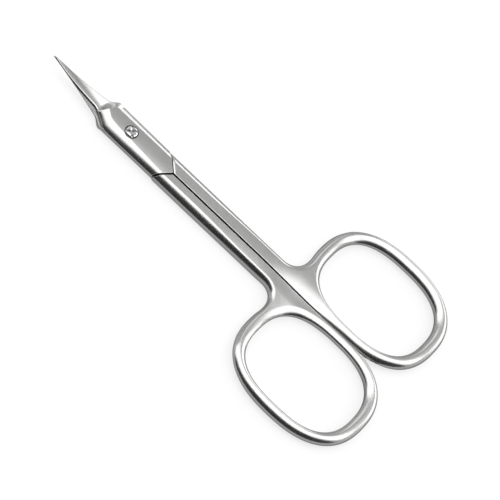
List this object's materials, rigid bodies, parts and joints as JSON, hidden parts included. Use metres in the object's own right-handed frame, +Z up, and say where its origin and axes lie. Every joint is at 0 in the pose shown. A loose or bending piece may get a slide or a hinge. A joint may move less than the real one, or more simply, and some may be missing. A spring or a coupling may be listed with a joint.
{
  "type": "toenail scissors",
  "caption": "Closed steel toenail scissors with slim upswept pointed blades, a lap joint on a pivot screw, straight shanks and oval finger rings.",
  "frame": {"origin": "middle of the closed scissors' footprint, on the table", "axes": "+Y along the scissors towards the blade tips, +Z up out of the table on the screw-head side, +X to the right"},
  "size_m": [0.051, 0.0994, 0.0043],
  "materials": {
    "satin_steel": "polished stainless steel with a fine satin grain on the flats",
    "screw_steel": "bright turned steel with a cross recess"
  },
  "bodies": {
    "lower": {"lower_half": "satin_steel", "pivot_screw": "screw_steel"},
    "upper": {"upper_half": "satin_steel"}
  },
  "joints": [
    {"name": "pivot", "type": "hinge", "parent": "lower", "child": "upper", "pos_m": [0, 0.02714, 0.0016], "axis": [0, 0, -1], "range_deg": [0, 75]}
  ]
}
